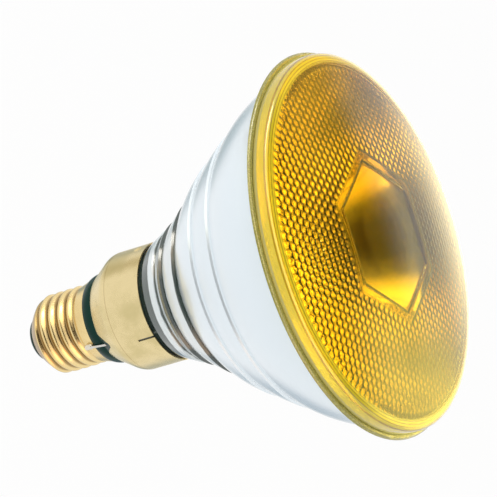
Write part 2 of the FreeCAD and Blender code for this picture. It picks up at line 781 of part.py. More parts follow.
# Side lead: from the other ferrule out through the lug, over the dark ring and down on to the shell.
LEAD_CLEAR = "(lead_radius + lead_standoff)"
LUG_EXIT = "skirt_small_height + lead_bend_radius"
side_wire = wire("side_wire", "lead_radius", [
    ("-ferrule_spacing / 2", LEAD_TOP),
    ("-ferrule_spacing / 2", "side_lead_fall_height", "lead_bend_radius"),
    (f"-(skirt_small_radius + lead_radius + {LEAD_CLEAR})", LUG_EXIT, "lead_radius * 2"),
    (f"-(shell_edge_radius + {LEAD_CLEAR})", "shell_edge_height - lead_lap"),
])
insulating_ring = turn_to_lead(boolean("Part::Cut", "insulating_ring", ring_with_lug, side_wire))

side_lead = doc.addObject("Part::Compound", "side_lead")
side_lead.Label = "side_lead"
side_lead.Links = [side_wire]
turn_to_lead(side_lead)

# Solder: a drop drawn out along the lead's end on the shell.
DROP_FOOT = "shell_edge_height - side_solder_length"
drop = turned_body("solder_drop", [
    ("0", DROP_FOOT, "side_solder_radius"),
    ("side_solder_radius", f"{DROP_FOOT} + side_solder_radius"),
    ("side_solder_radius", "shell_edge_height - side_solder_radius", "side_solder_radius"),
    ("0", "shell_edge_height"),
])
drop.setExpression("Placement.Base.y", bound("-(shell_edge_radius + lead_standoff)"))
collar_form = turned_body("collar_form", [
    ("0", "thread_end_height"),
    ("(thread_crest_radius + thread_root_radius) / 2 + solder_film", "thread_end_height"),
    ("shell_edge_radius + solder_film", "shell_edge_height"),
    ("0", "shell_edge_height"),
])
drop_round_lead = boolean("Part::Cut", "drop_round_lead", drop, side_wire)
side_solder = turn_to_lead(boolean("Part::Cut", "side_solder", drop_round_lead, collar_form))
doc.recompute()

NODES = (
    reflector,
    lens,
    skirt,
    skirt_cement,
    screw_shell,
    cap_insulator,
    centre_contact,
    contact_solder,
    insulating_ring,
    side_lead,
    side_solder,
    lead_ferrules,
    lead_posts,
    filament,
    contact_lead,
)

for thing in doc.Objects:
    if "Invalid" in thing.State or "Error" in thing.State:
        raise RuntimeError(f"{thing.Label} failed to build")

os.makedirs("parts", exist_ok=True)
for node in NODES:
    if node.Shape.isNull() or not node.Shape.isValid():
        raise RuntimeError(f"{node.Label} has no valid shape")
    node.Shape.exportStep(f"parts/{node.Label}.step")
    print(f"{node.Label}: {len(node.Shape.Solids)} solid(s), {node.Shape.Volume:.1f} mm3")
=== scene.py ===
"""Flood bulb: the finishes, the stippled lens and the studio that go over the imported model."""
import logging
import math
from dataclasses import dataclass
from enum import Enum
from typing import Mapping, Optional, Union

import bpy
import numpy as np
from mathutils import Matrix, Vector


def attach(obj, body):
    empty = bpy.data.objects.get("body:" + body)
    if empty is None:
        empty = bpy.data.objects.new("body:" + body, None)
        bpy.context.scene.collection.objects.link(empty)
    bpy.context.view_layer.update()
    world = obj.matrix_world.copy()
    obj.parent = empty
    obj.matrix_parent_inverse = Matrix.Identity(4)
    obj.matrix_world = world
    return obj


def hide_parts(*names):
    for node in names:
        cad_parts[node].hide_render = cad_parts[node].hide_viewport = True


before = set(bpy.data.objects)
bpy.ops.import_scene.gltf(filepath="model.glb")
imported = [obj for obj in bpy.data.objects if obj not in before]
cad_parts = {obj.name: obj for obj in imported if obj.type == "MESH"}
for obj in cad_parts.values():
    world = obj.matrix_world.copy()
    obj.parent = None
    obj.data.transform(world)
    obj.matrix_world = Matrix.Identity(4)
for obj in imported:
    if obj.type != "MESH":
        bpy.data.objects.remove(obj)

log = logging.getLogger("flood_bulb")

MM = 0.001
CRISP = 0.2 * MM  # how far a crisp border between two finishes fades
ROW = math.sqrt(3) / 2  # the height of a triangle with sides of 1
GLASS_IOR = 1.5

Colour = tuple[float, float, float]
Place = tuple[float, float, float]
Input = Union[float, Colour, Place, "Signal"]
Owner = Union[bpy.types.Material, bpy.types.World]

WHITE: Colour = (1.0, 1.0, 1.0)


# Meshes


@dataclass(frozen=True)
class Surface:
    """Points and triangles of one surface, in metres, and any painted shade of its points, from 0 to 1."""

    points: np.ndarray
    triangles: np.ndarray
    shade: Optional[np.ndarray] = None


def grid(width: int) -> np.ndarray:
    """Join a square grid of points, numbered row by row, by two triangles to a cell.

    Args:
        width: how many points a side has.

    Returns:
        The triangles, which face up when the rows run along x and the points in a row along y.
    """
    cells = np.arange(width - 1)
    corner = (cells[:, None] * width + cells).ravel()
    return np.concatenate([
        np.stack([corner, corner + width, corner + 1], axis=1),
        np.stack([corner + width, corner + width + 1, corner + 1], axis=1),
    ])


def band(lower: np.ndarray, upper: np.ndarray) -> np.ndarray:
    """Join two closed rings of point numbers by triangles that face outward when the rings run anticlockwise.

    Args:
        lower: point numbers of the first ring.
        upper: point numbers of the ring above it, of the same length.

    Returns:
        The triangles, two for each step round the rings.
    """
    next_lower = np.roll(lower, -1)
    next_upper = np.roll(upper, -1)
    return np.concatenate([
        np.stack([next_lower, next_upper, upper], axis=1),
        np.stack([lower, next_lower, upper], axis=1),
    ])


def border(triangles: np.ndarray) -> np.ndarray:
    """Find the points on the border of a sheet, where a side belongs to one triangle only.

    Args:
        triangles: the sheet's triangles.

    Returns:
        The numbers of those points, in rising order.
    """
    sides = np.concatenate([triangles[:, [0, 1]], triangles[:, [1, 2]], triangles[:, [2, 0]]])
    _, first, times = np.unique(np.sort(sides, axis=1), axis=0, return_index=True, return_counts=True)
    return np.unique(sides[first[times == 1]])


def make_piece(name: str, surface: Surface, smooth: bool = True) -> bpy.types.Object:
    """Make an object at the origin from a surface.

    Args:
        name: the piece's name.
        surface: its points and triangles.
        smooth: whether its faces are shaded as one curve.

    Returns:
        The new object, linked to the scene.
    """
    mesh = bpy.data.meshes.new(name)
    mesh.from_pydata(surface.points.tolist(), [], surface.triangles.tolist())
    mesh.polygons.foreach_set("use_smooth", np.full(len(mesh.polygons), smooth))
    if surface.shade is not None:
        mesh.attributes.new("shade", "FLOAT", "POINT").data.foreach_set("value", surface.shade)
    mesh.update()
    piece = bpy.data.objects.new(name, mesh)
    bpy.context.scene.collection.objects.link(piece)
    return piece


# Shader arithmetic


class Signal:
    """A value, colour, vector or surface on its way through a finish; values are open to plain arithmetic."""

    def __init__(self, shading: "Shading", socket: Optional[bpy.types.NodeSocket]) -> None:
        """Wrap an output socket of one of the shading's nodes."""
        self.shading = shading
        self.socket = socket

    def _math(self, operation: str, first: Input, second: Input = 0.0) -> "Signal":
        """Return the outcome of one Math node."""
        return self.shading.node("ShaderNodeMath", {"operation": operation}, {0: first, 1: second})

    def __add__(self, other: Input) -> "Signal":
        """Return self + other."""
        return self._math("ADD", self, other)

    __radd__ = __add__

    def __sub__(self, other: Input) -> "Signal":
        """Return self - other."""
        return self._math("SUBTRACT", self, other)

    def __rsub__(self, other: Input) -> "Signal":
        """Return other - self."""
        return self._math("SUBTRACT", other, self)

    def __mul__(self, other: Input) -> "Signal":
        """Return self * other."""
        return self._math("MULTIPLY", self, other)

    __rmul__ = __mul__

    def root(self) -> "Signal":
        """Return the square root of self, or 0 below 0."""
        return self._math("SQRT", self.larger(0.0))

    def sine(self) -> "Signal":
        """Return the sine of self, in radians."""
        return self._math("SINE", self)

    def larger(self, other: Input) -> "Signal":
        """Return the larger of self and other."""
        return self._math("MAXIMUM", self, other)

    def above(self, edge: float, fade: float) -> "Signal":
        """Return a mask that goes from 0 to 1 where self rises past an edge, over the width fade."""
        return self.shading.node(
            "ShaderNodeMapRange",
            {"interpolation_type": "SMOOTHSTEP"},
            {"Value": self, "From Min": edge - fade / 2, "From Max": edge + fade / 2},
        )

    def below(self, edge: float, fade: float) -> "Signal":
        """Return a mask that goes from 1 to 0 where self rises past an edge, over the width fade."""
        return 1.0 - self.above(edge, fade)

    def within(self, reach: float, fade: float) -> "Signal":
        """Return a mask that is 1 about 0 and falls to 0, over the width fade, by plus or minus reach."""
        return self._math("ABSOLUTE", self).below(reach - fade / 2, fade)

    def along(self, direction: Place) -> "Signal":
        """Return how far a vector reaches along a direction."""
        return self.shading.node(
            "ShaderNodeVectorMath", {"operation": "DOT_PRODUCT"}, {0: self, 1: direction}, "Value"
        )


class Shading:
    """The node tree of a material or of the world, and the ways to add to it."""

    def __init__(self, owner: Owner) -> None:
        """Empty the owner's node tree.

        Args:
            owner: the material or world that the nodes are for.
        """
        self.owner = owner
        owner.use_nodes = True
        self.tree = owner.node_tree
        self.tree.nodes.clear()

    @classmethod
    def of_material(cls, name: str) -> "Shading":
        """Start an empty material of that name."""
        return cls(bpy.data.materials.new(name))

    def node(
        self, kind: str, settings: Mapping[str, object], inputs: Mapping[object, Input], output: object = 0
    ) -> Signal:
        """Add a node and return one of its outputs.

        Args:
            kind: the node's type.
            settings: its own settings, set first.
            inputs: the values or links of its sockets, by name or number.
            output: the output that is returned, by name or number.

        Returns:
            The output as a signal, whose socket is None for a node that has no output.
        """
        node = self.tree.nodes.new(kind)
        for name, setting in settings.items():
            setattr(node, name, setting)
        for key, value in inputs.items():
            socket = node.inputs[key]
            if isinstance(value, Signal):
                self.tree.links.new(value.socket, socket)
            elif isinstance(value, tuple) and socket.type == "RGBA":
                socket.default_value = (*value, 1.0)
            else:
                socket.default_value = value
        return Signal(self, node.outputs[output] if node.outputs else None)

    def place(self) -> Signal:
        """Return the place on the object, in metres."""
        return self.node("ShaderNodeTexCoord", {}, {}, "Object")

    def axes(self) -> tuple[Signal, Signal, Signal]:
        """Return the place's three coordinates."""
        place = self.place()
        return tuple(self.node("ShaderNodeSeparateXYZ", {}, {0: place}, number) for number in range(3))

    def radius_and_height(self) -> tuple[Signal, Signal]:
        """Return the distance from the lamp's axis and the height along it, in metres."""
        across, along, height = self.axes()
        return (across * across + along * along).root(), height

    def noise(self, scale: float, detail: float = 2.0, roughness: float = 0.5) -> Signal:
        """Return soft noise from 0 to 1.

        Args:
            scale: blotches to a metre.
            detail: octaves of finer noise.
            roughness: weight of the finer octaves.

        Returns:
            The noise.
        """
        return self.node(
            "ShaderNodeTexNoise",
            {},
            {"Vector": self.place(), "Scale": scale, "Detail": detail, "Roughness": roughness},
        )

    def wave(self, along: Signal, pitch: float) -> Signal:
        """Return a sine wave along a length, from 0 to 1, one period to a pitch."""
        return 0.5 + 0.5 * (along * (2 * math.pi / pitch)).sine()

    def seen(self) -> Signal:
        """Return 1 for what the camera, metal and glass see, and 0 for light on its way to dull surfaces."""
        camera, metal, glass = (
            self.node("ShaderNodeLightPath", {}, {}, f"Is {kind} Ray")
            for kind in ("Camera", "Glossy", "Transmission")
        )
        return camera.larger(metal).larger(glass)

    def blend(self, mask: Input, first: Input, second: Input) -> Signal:
        """Return a colour that goes from first to second with the mask."""
        return self.node("ShaderNodeMix", {"data_type": "RGBA"}, {0: mask, 6: first, 7: second}, 2)

    def bump(self, height: Signal, depth: float, strength: float = 1.0) -> Signal:
        """Return the normal of a relief.

        Args:
            height: the relief, as a share of depth.
            depth: how deep a relief of 1 is, in metres.
            strength: how much of it shows.

        Returns:
            The bent normal.
        """
        return self.node("ShaderNodeBump", {}, {"Height": height, "Distance": depth, "Strength": strength})

    def surface(self, **inputs: Input) -> Signal:
        """Return a Principled surface; an underscore in an input's name stands for a space."""
        named = {name.replace("_", " "): value for name, value in inputs.items()}
        return self.node("ShaderNodeBsdfPrincipled", {}, named)

    def glass(self, colour: Input, roughness: float = 0.0, **inputs: Input) -> Signal:
        """Return clear glass of that colour."""
        return self.surface(
            Base_Color=colour, Roughness=roughness, IOR=GLASS_IOR, Transmission_Weight=1.0, **inputs
        )

    def glaze(self, colour: Input, roughness: Input, gloss: float, **inputs: Input) -> Signal:
        """Return an opaque surface of that colour under a clear coat, whose roughness is gloss."""
        return self.surface(
            Base_Color=colour, Roughness=roughness, Coat_Weight=1.0, Coat_Roughness=gloss, **inputs
        )

    def glow(self, colour: Colour) -> Signal:
        """Return a surface that gives off a colour."""
        return self.node("ShaderNodeEmission", {}, {"Color": colour, "Strength": 1.0})

    def mix(self, mask: Input, first: Signal, second: Signal) -> Signal:
        """Return a surface that goes from first to second with the mask."""
        return self.node("ShaderNodeMixShader", {}, {0: mask, 1: first, 2: second})

    def finish(self, surface: Signal) -> Owner:
        """Show a surface and return the finished material or world."""
        self.node("ShaderNodeOutput" + type(self.owner).__name__, {}, {"Surface": surface})
        return self.owner


# Finishes. A fade is the width over which a mask goes from 0 to 1, and a cover is the most that it hides.


@dataclass(frozen=True)
class YellowGlass:
    """Clear pressed glass, painted deeper on its shaded side, and opaque on the rim and over the seam."""

    # Painted light: the glass is painted paler on the lit side and deeper (deep) on the shaded side, turning
    # about turn.
    pale: Colour = (1.0, 0.88, 0.12)
    deep: Colour = (1.0, 0.65, 0.08)
    turn: float = 3.0 * MM
    turn_fade: float = 90.0 * MM
    # Painted shade: the near-black colour between the lenslets and between the teeth.
    gap: Colour = (0.006, 0.001, 0.0)
    # Painted light: the painted shade between the lenslets is this much weaker on the lit side.
    gap_loss: float = 0.2
    rim: Colour = (1.0, 0.79, 0.02)
    rim_start: float = 57.4 * MM
    rim_fade: float = 1.2 * MM
    rim_cover: float = 0.6
    line: Colour = (0.42, 0.25, 0.01)
    line_pitch: float = 0.9 * MM
    line_crest: float = 0.8
    line_fade: float = 0.3
    line_cover: float = 0.85
    seam: Colour = (0.42, 0.39, 0.13)
    seam_start: float = 60.2 * MM
    seam_height: float = 124.1 * MM
    seam_fade: float = 0.3 * MM
    seam_cover: float = 0.75
    seam_scale: float = 2600.0
    seam_roughness: float = 0.3
    seam_unevenness: float = 0.2
    grain_reach: float = 16.0 * MM
    grain_fade: float = 6.0 * MM
    grain_height: float = 132.5 * MM
    grain_scale: float = 1500.0
    grain_depth: float = 0.10 * MM

    def material(self) -> bpy.types.Material:
        """Return the glass.

        The lens's shade marks the painted shade between the lenslets, a little less on the lit side.
        The grain lies inside the window alone, and fine lines run round the rim.

        Returns:
            The material.
        """
        shading = Shading.of_material("yellow_glass")
        across, _, _ = shading.axes()
        radius, height = shading.radius_and_height()
        # Painted light: side is 1 on the lit side of the lens and 0 on the shaded side.
        side = across.above(self.turn, self.turn_fade)
        # Painted shade between the lenslets and teeth, carried by the lens's shade attribute.
        shade = shading.node("ShaderNodeAttribute", {"attribute_name": "shade"}, {}, "Fac")
        gap_shade = shade * (1.0 - self.gap_loss * side)
        window = radius.within(self.grain_reach, self.grain_fade) * height.below(self.grain_height, CRISP)
        glass = shading.glass(
            shading.blend(gap_shade, shading.blend(side, self.deep, self.pale), self.gap),
            Normal=shading.bump(window * shading.noise(self.grain_scale), self.grain_depth),
        )
        lines = shading.wave(radius, self.line_pitch).above(self.line_crest, self.line_fade)
        lined = shading.blend(self.line_cover * lines, self.rim, self.line)
        rim = shading.glaze(lined, roughness=0.2, gloss=0.02)
        matt = self.seam_roughness + self.seam_unevenness * shading.noise(self.seam_scale)
        seam = shading.glaze(self.seam, roughness=matt, gloss=0.05)
        covered = self.rim_cover * radius.above(self.rim_start, self.rim_fade)
        low = radius.above(self.seam_start, CRISP) * height.below(self.seam_height, self.seam_fade)
        return shading.finish(shading.mix(self.seam_cover * low, shading.mix(covered, glass, rim), seam))


@dataclass(frozen=True)
class MirroredGlass:
    """Pressed glass, mirrored inside, milky at the neck, and clear at the flange with specks of stain."""

    focal_length: float = 12.2 * MM
    vertex_height: float = 58.3 * MM
    half_wall: float = 1.5 * MM
    silver: Colour = (0.90, 0.91, 0.92)
    silver_foot: float = 48.0 * MM
    silver_fade: float = 0.6 * MM
    # Painted shade: the dark inside of the throat, below the silver.
    soot: Colour = (0.05, 0.045, 0.03)
    back: Colour = (0.80, 0.885, 0.94)
    back_foot: float = 74.1 * MM
    clear: Colour = (0.90, 0.95, 0.93)
    milk: Colour = (0.86, 0.93, 0.94)
    milk_cover: float = 0.9
    # Painted shade: bands round the neck, where the skirt's shadow falls and the grooves look dark.
    dark: Colour = (0.05, 0.075, 0.065)
    dark_bands: tuple[tuple[float, float], ...] = (
        (52.0 * MM, 5.8 * MM), (60.6 * MM, 0.5 * MM), (63.6 * MM, 1.7 * MM), (72.6 * MM, 1.1 * MM),
    )
    dark_fade: float = 0.35 * MM
    ripple: float = 2.0 * MM
    ripple_scale: float = 60.0
    flange_height: float = 119.9 * MM
    tint: Colour = (0.94, 0.90, 0.26)
    stain: Colour = (0.62, 0.57, 0.12)
    stain_cover: float = 0.4
    speck_cover: float = 0.3
    speck_edge: float = 0.55
    speck_fade: float = 0.2
    speck_scale: float = 2600.0
    land: Colour = (1.0, 0.97, 0.6)
    land_radius: float = 59.8 * MM
    land_fade: float = 0.4 * MM

    def material(self) -> bpy.types.Material:
        """Return the glass; the lining is where the radius is under that of the middle of the wall.

        The middle of the wall is the mirror's parabola, moved out by half the wall. The parabola's radius is
        the square root of four focal lengths times the height over the vertex.

        Returns:
            The material.
        """
        shading = Shading.of_material("mirrored_glass")
        radius, height = shading.radius_and_height()
        middle = ((height - self.vertex_height) * (4 * self.focal_length)).root() + self.half_wall
        inside = (middle - radius).above(0.0, CRISP)
        bowl = shading.mix(
            height.above(self.back_foot, self.silver_fade),
            self.neck(shading, height),
            shading.glaze(self.back, roughness=0.3, gloss=0.03, Metallic=0.5),
        )
        casing = shading.mix(height.above(self.flange_height, CRISP), bowl, self.flange(shading, radius))
        return shading.finish(shading.mix(inside, casing, self.lining(shading, height)))

    def lining(self, shading: Shading, height: Signal) -> Signal:
        """Make the inside: silver, and painted shade in the throat.

        Args:
            shading: the material's nodes.
            height: the height along the axis.

        Returns:
            The inside's surface.
        """
        mirror = shading.surface(Base_Color=self.silver, Metallic=1.0, Roughness=0.06)
        # Painted shade in the throat.
        throat = shading.surface(Base_Color=self.soot, Roughness=0.4)
        return shading.mix(height.above(self.silver_foot, self.silver_fade), throat, mirror)

    def neck(self, shading: Shading, height: Signal) -> Signal:
        """Make the milky glass of the neck and its bands of painted shade, given as height and reach, which
        ripple.

        Args:
            shading: the material's nodes.
            height: the height along the axis.

        Returns:
            The neck's surface.
        """
        rippled = height + self.ripple * (shading.noise(self.ripple_scale, detail=3.0, roughness=0.6) - 0.5)
        # Painted shade in rippled bands round the neck.
        dark = 0.0
        for middle_height, reach in self.dark_bands:
            dark = (rippled - middle_height).within(reach, self.dark_fade) + dark
        milk = shading.glaze(shading.blend(dark, self.milk, self.dark), roughness=0.12, gloss=0.02)
        return shading.mix(self.milk_cover, shading.glass(self.clear), milk)

    def flange(self, shading: Shading, radius: Signal) -> Signal:
        """Make the tinted glass of the flange, speckled with stain, and the bright land under the lens.

        Args:
            shading: the material's nodes.
            radius: the distance from the axis.

        Returns:
            The flange's surface.
        """
        specks = shading.noise(self.speck_scale).above(self.speck_edge, self.speck_fade)
        edge = shading.mix(
            self.stain_cover + self.speck_cover * specks,
            shading.glass(self.tint, roughness=0.02),
            shading.glaze(self.stain, roughness=0.3, gloss=0.05),
        )
        land = shading.surface(Base_Color=self.land, Metallic=1.0, Roughness=0.25)
        return shading.mix(radius.above(self.land_radius, self.land_fade), land, edge)


@dataclass(frozen=True)
class Brass:
    """Sheet brass with faint handling marks, and painted shade in its grooves.

    Its grooves lie where the radius is under groove_radius. A sheet with a crease_height has a faint line
    of painted shade there, and shallow dents.
    """

    name: str
    colour: Colour
    dull: Colour
    roughness: float
    dull_scale: float = 90.0
    dull_edge: float = 0.52
    dull_fade: float = 0.3
    dull_cover: float = 0.8
    dull_roughness: float = 0.08
    # Painted shade: the dark brown of the grooves and of the line along the bend.
    groove: Colour = (0.25, 0.14, 0.04)
    groove_radius: float = 0.0
    groove_fade: float = 0.5 * MM
    groove_cover: float = 0.8
    crease_height: float = 0.0
    crease_reach: float = 0.25 * MM
    crease_fade: float = 0.3 * MM
    crease_cover: float = 0.45
    dent_depth: float = 0.0
    dent_scale: float = 130.0
    grain_depth: float = 0.005 * MM
    grain_scale: float = 1800.0
    grain_roughness: float = 0.1

    def material(self) -> bpy.types.Material:
        """Make the brass; its relief is worked out in millimetres.

        Returns:
            The material.
        """
        shading = Shading.of_material(self.name)
        radius, height = shading.radius_and_height()
        cloud = shading.noise(self.dull_scale, detail=4.0, roughness=0.6)
        blotch = cloud.above(self.dull_edge, self.dull_fade)
        grain = shading.noise(self.grain_scale, detail=3.0)
        colour = shading.blend(self.dull_cover * blotch, self.colour, self.dull)
        relief = self.grain_depth / MM * grain
        if self.groove_radius:
            # Painted shade in the grooves, under groove_radius.
            low = radius.below(self.groove_radius, self.groove_fade)
            colour = shading.blend(self.groove_cover * low, colour, self.groove)
        if self.crease_height:
            # Painted shade: a faint dark line along the bend.
            crease_shade = (height - self.crease_height).within(self.crease_reach, self.crease_fade)
            colour = shading.blend(self.crease_cover * crease_shade, colour, self.groove)
            relief = relief + self.dent_depth / MM * shading.noise(self.dent_scale, detail=1.0)
        return shading.finish(shading.surface(
            Base_Color=colour, Metallic=1.0,
            Roughness=self.roughness + self.grain_roughness * grain + self.dull_roughness * blotch,
            Normal=shading.bump(relief, MM),
        ))


@dataclass(frozen=True)
class Plain:
    """A small part's finish: one colour, broken up by fine noise."""

    name: str
    colour: Colour
    shade: Colour
    roughness: float
    metallic: float = 0.0
    ior: float = 1.45
    mottle_scale: float = 700.0
    mottle_roughness: float = 0.15
    relief: float = 0.03 * MM
    relief_strength: float = 0.3

    def material(self) -> bpy.types.Material:
        """Return the finish."""
        shading = Shading.of_material(self.name)
        mottle = shading.noise(self.mottle_scale, detail=3.0)
        return shading.finish(shading.surface(
            Base_Color=shading.blend(mottle, self.colour, self.shade), Metallic=self.metallic,
            Roughness=self.roughness + self.mottle_roughness * mottle, IOR=self.ior,
            Normal=shading.bump(mottle, self.relief, self.relief_strength),
        ))


# Lens


@dataclass(frozen=True)
class Lens:
    """Pressed lens: a smooth dome outside, and inside a hexagonal window in a field of round lenslets.

    A corner is the corner radius of a hexagon, and the mesh has steps triangles to a lenslet's pitch.
    """

    node: str = "lens"
    seam_height: float = 122.72 * MM
    seam_radius: float = 60.3 * MM
    seat_radius: float = 56.06 * MM
    rim_radius: float = 60.7 * MM
    rim_ease: float = 0.7 * MM
    rim_ease_steps: int = 4
    rim_height: float = 126.5 * MM
    shoulder_radius: float = 58.2 * MM
    shoulder_height: float = 128.2 * MM
    shoulder_steps: int = 6
    elbow_inset: float = 0.3 * MM
    elbow_drop: float = 0.5 * MM
    top_height: float = 135.0 * MM
    dome_radius: float = 252.46 * MM
    dome_rows: int = 26
    wall: float = 3.2 * MM
    bed_radius: float = 56.66 * MM
    pitch: float = 2.7 * MM
    lenslet_radius: float = 2.2 * MM
    steps: int = 6
    border_pull: float = 0.35
    # Painted shade between the lenslets starts this far from a lenslet's centre.
    gap_start: float = 1.06 * MM
    gap_fade: float = 0.2 * MM
    tooth_count: int = 132
    tooth_reach: float = 3.4 * MM
    tooth_depth: float = 0.8 * MM
    tooth_rows: int = 7
    tooth_clear: float = 2.2
    plain_corner: float = 28.2 * MM
    window_corner: float = 24.8 * MM
    window_depth: float = 1.8 * MM
    window_bevel: float = 1.0 * MM

    @property
    def field_radius(self) -> float:
        """Return the radius at which the lenslets end and the teeth begin."""
        return self.bed_radius - self.tooth_reach

    def build(self) -> bpy.types.Object:
        """Build the lens in place of its node and dress it.

        Returns:
            The lens.
        """
        piece = make_piece("stippled_lens", self.surface())
        piece.data.materials.append(YellowGlass().material())
        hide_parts(self.node)
        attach(piece, "root")
        return piece

    def dome(self, radius: np.ndarray, inset: float) -> np.ndarray:
        """Return the height of the sphere of the dome, less inset, at a radius from the axis."""
        sphere = self.dome_radius - inset
        return self.top_height - self.dome_radius + np.sqrt(sphere ** 2 - radius ** 2)

    def lenslet(self, x: np.ndarray, y: np.ndarray) -> np.ndarray:
        """Return the distance from each point to the nearest centre of the hexagonal lattice of lenslets.

        The point's three lattice coordinates, whose sum is 0, are rounded, and the one that this moves most
        is set again from the other two.

        Args:
            x: across the lens, in metres.
            y: along the lens, in metres.

        Returns:
            The distance in metres.
        """
        row = y / (self.pitch * ROW)
        column = x / self.pitch - row / 2
        cube = np.stack([column, row, -column - row])
        near = np.round(cube)
        worst = np.argmax(np.abs(near - cube), axis=0)
        near = near - np.where(np.arange(3)[:, None] == worst, near.sum(axis=0), 0.0)
        return np.hypot(x - self.pitch * (near[0] + near[1] / 2), y - self.pitch * near[1] * ROW)

    def toothed(self, x: np.ndarray, y: np.ndarray) -> np.ndarray:
        """Return whether each point is in the ring of teeth."""
        return np.hypot(x, y) > self.field_radius

    def tooth(self, x: np.ndarray, y: np.ndarray) -> np.ndarray:
        """Return the relief of the teeth, from 0 to 1: a half-wave in the angle times one in the radius."""
        along = np.clip((self.bed_radius - np.hypot(x, y)) / self.tooth_reach, 0.0, 1.0)
        return np.abs(np.sin(self.tooth_count * np.arctan2(y, x) / 2)) * np.sin(math.pi * along)

    def corner(self, x: np.ndarray, y: np.ndarray) -> np.ndarray:
        """Return the corner radius of the hexagon through each point, from its largest reach to a side."""
        turns = np.radians([30.0, 90.0, 150.0])[:, None]
        return np.abs(np.cos(turns) * x + np.sin(turns) * y).max(axis=0) / ROW

    def relief(self, x: np.ndarray, y: np.ndarray) -> np.ndarray:
        """Return how far the inside stands out at each point.

        In the field it is the cap of a ball round the nearest centre of the lattice. Along the rim it is a
        ring of rounded teeth. In the window it is a flat boss whose sides slope over the bevel.

        Args:
            x: across the lens, in metres.
            y: along the lens, in metres.

        Returns:
            The relief in metres.
        """
        foot = math.sqrt(self.lenslet_radius ** 2 - self.pitch ** 2 / 3)
        lenslets = np.sqrt(self.lenslet_radius ** 2 - self.lenslet(x, y) ** 2) - foot
        field = np.where(self.toothed(x, y), self.tooth_depth * self.tooth(x, y), lenslets)
        reach = self.corner(x, y)
        boss = self.window_depth * np.clip((self.window_corner - reach) / self.window_bevel, 0.0, 1.0)
        return np.where(reach > self.plain_corner, field, boss)

    def shade(self, x: np.ndarray, y: np.ndarray) -> np.ndarray:
        """Return how much painted shade lies at each point: between the lenslets and between the teeth.

        Args:
            x: across the lens, in metres.
            y: along the lens, in metres.

        Returns:
            The shade, from 0 to 1. It is 0 in the window and the plain ring round it.
        """
        # Painted shade: darkest midway between lenslets and in the clefts between the teeth.
        gap_shade = np.clip((self.lenslet(x, y) - self.gap_start) / self.gap_fade, 0.0, 1.0)
        cleft_shade = np.clip(1.0 - self.tooth_clear * self.tooth(x, y), 0.0, 1.0)
        between = np.where(self.toothed(x, y), cleft_shade, gap_shade)
        return np.where(self.corner(x, y) > self.plain_corner, between, 0.0)

    def field(self) -> tuple[np.ndarray, np.ndarray]:
        """Work out the window and the lenslets, facing up.

        They are a triangular lattice, aligned with the lenslets, whose points past the field's edge are drawn
        in to that circle. The height is that of the inner dome less the relief.

        Returns:
            The points and the triangles.
        """
        spacing = self.pitch / self.steps
        count = math.ceil(self.field_radius / (spacing * ROW)) + 2
        numbers = np.arange(-count, count + 1)
        column, row = np.meshgrid(numbers, numbers, indexing="ij")
        x = (spacing * (column + row / 2)).ravel()
        y = (spacing * row * ROW).ravel()
        radius = np.hypot(x, y)
        outer = radius > self.field_radius - self.border_pull * spacing
        pull = np.where(outer, self.field_radius / np.maximum(radius, spacing), 1.0)
        x, y = x * pull, y * pull
        height = self.dome(np.hypot(x, y), self.wall) - self.relief(x, y)
        triangles = grid(len(numbers))
        used, triangles = np.unique(triangles[~outer[triangles].all(axis=1)], return_inverse=True)
        return np.stack([x, y, height], axis=1)[used], triangles.reshape(-1, 3)

    def outline(self) -> np.ndarray:
        """Return the outline from the foot of the inner wall round the rim to near the crown.

        It eases out of the seam on a quarter of an ellipse, turns over the shoulder on a parabola and follows
        the dome.

        Returns:
            The radius and height of each point.
        """
        ease = np.linspace(0.0, math.pi / 2, self.rim_ease_steps + 1)[:, None]
        foot = np.array([[self.seam_radius, self.seam_height]]) + np.concatenate([
            (self.rim_radius - self.seam_radius) * np.sin(ease), self.rim_ease * (1 - np.cos(ease)),
        ], axis=1)
        turn = np.linspace(0.0, 1.0, self.shoulder_steps + 1)[:, None]
        start = np.array([self.rim_radius, self.rim_height])
        end = np.array([self.shoulder_radius, self.shoulder_height])
        elbow = np.array([self.rim_radius - self.elbow_inset, self.shoulder_height - self.elbow_drop])
        shoulder = (1 - turn) ** 2 * start + 2 * turn * (1 - turn) * elbow + turn ** 2 * end
        reach = self.shoulder_radius * np.linspace(1.0, 0.0, self.dome_rows)[1:-1]
        dome = np.stack([reach, self.dome(reach, 0.0)], axis=1)
        return np.concatenate([[[self.seat_radius, self.seam_height]], foot, shoulder, dome])

    def surface(self) -> Surface:
        """Work out the closed lens.

        The ring of teeth and the outline are carried round the axis at the angles of the points on the border
        of the field, and a fan of triangles closes the crown.

        Returns:
            The lens, with painted shade on the inside alone.
        """
        inside, field = self.field()
        ring = border(field)
        angle = np.arctan2(inside[ring, 1], inside[ring, 0])
        order = np.argsort(angle)
        ring, angle = ring[order], angle[order]

        bed = self.field_radius + self.tooth_reach * np.linspace(0.0, 1.0, self.tooth_rows)[1:, None]
        x, y = bed * np.cos(angle), bed * np.sin(angle)
        height = self.dome(bed, self.wall) - self.relief(x.ravel(), y.ravel()).reshape(x.shape)
        shaded_count = len(inside) + x.size
        outline = self.outline()
        x = np.concatenate([x, outline[:, :1] * np.cos(angle)])
        y = np.concatenate([y, outline[:, :1] * np.sin(angle)])
        height = np.concatenate([height, outline[:, 1:] + 0 * angle])
        crown = np.array([[0.0, 0.0, self.top_height]])
        points = np.concatenate([inside, np.stack([x, y, height], axis=2).reshape(-1, 3), crown])

        rings = [ring, *(len(inside) + np.arange(x.size).reshape(x.shape))]
        walls = [band(lower, upper) for lower, upper in zip(rings[:-1], rings[1:])]
        last = rings[-1]
        fan = np.stack([last, np.roll(last, -1), np.full(len(last), len(points) - 1)], axis=1)
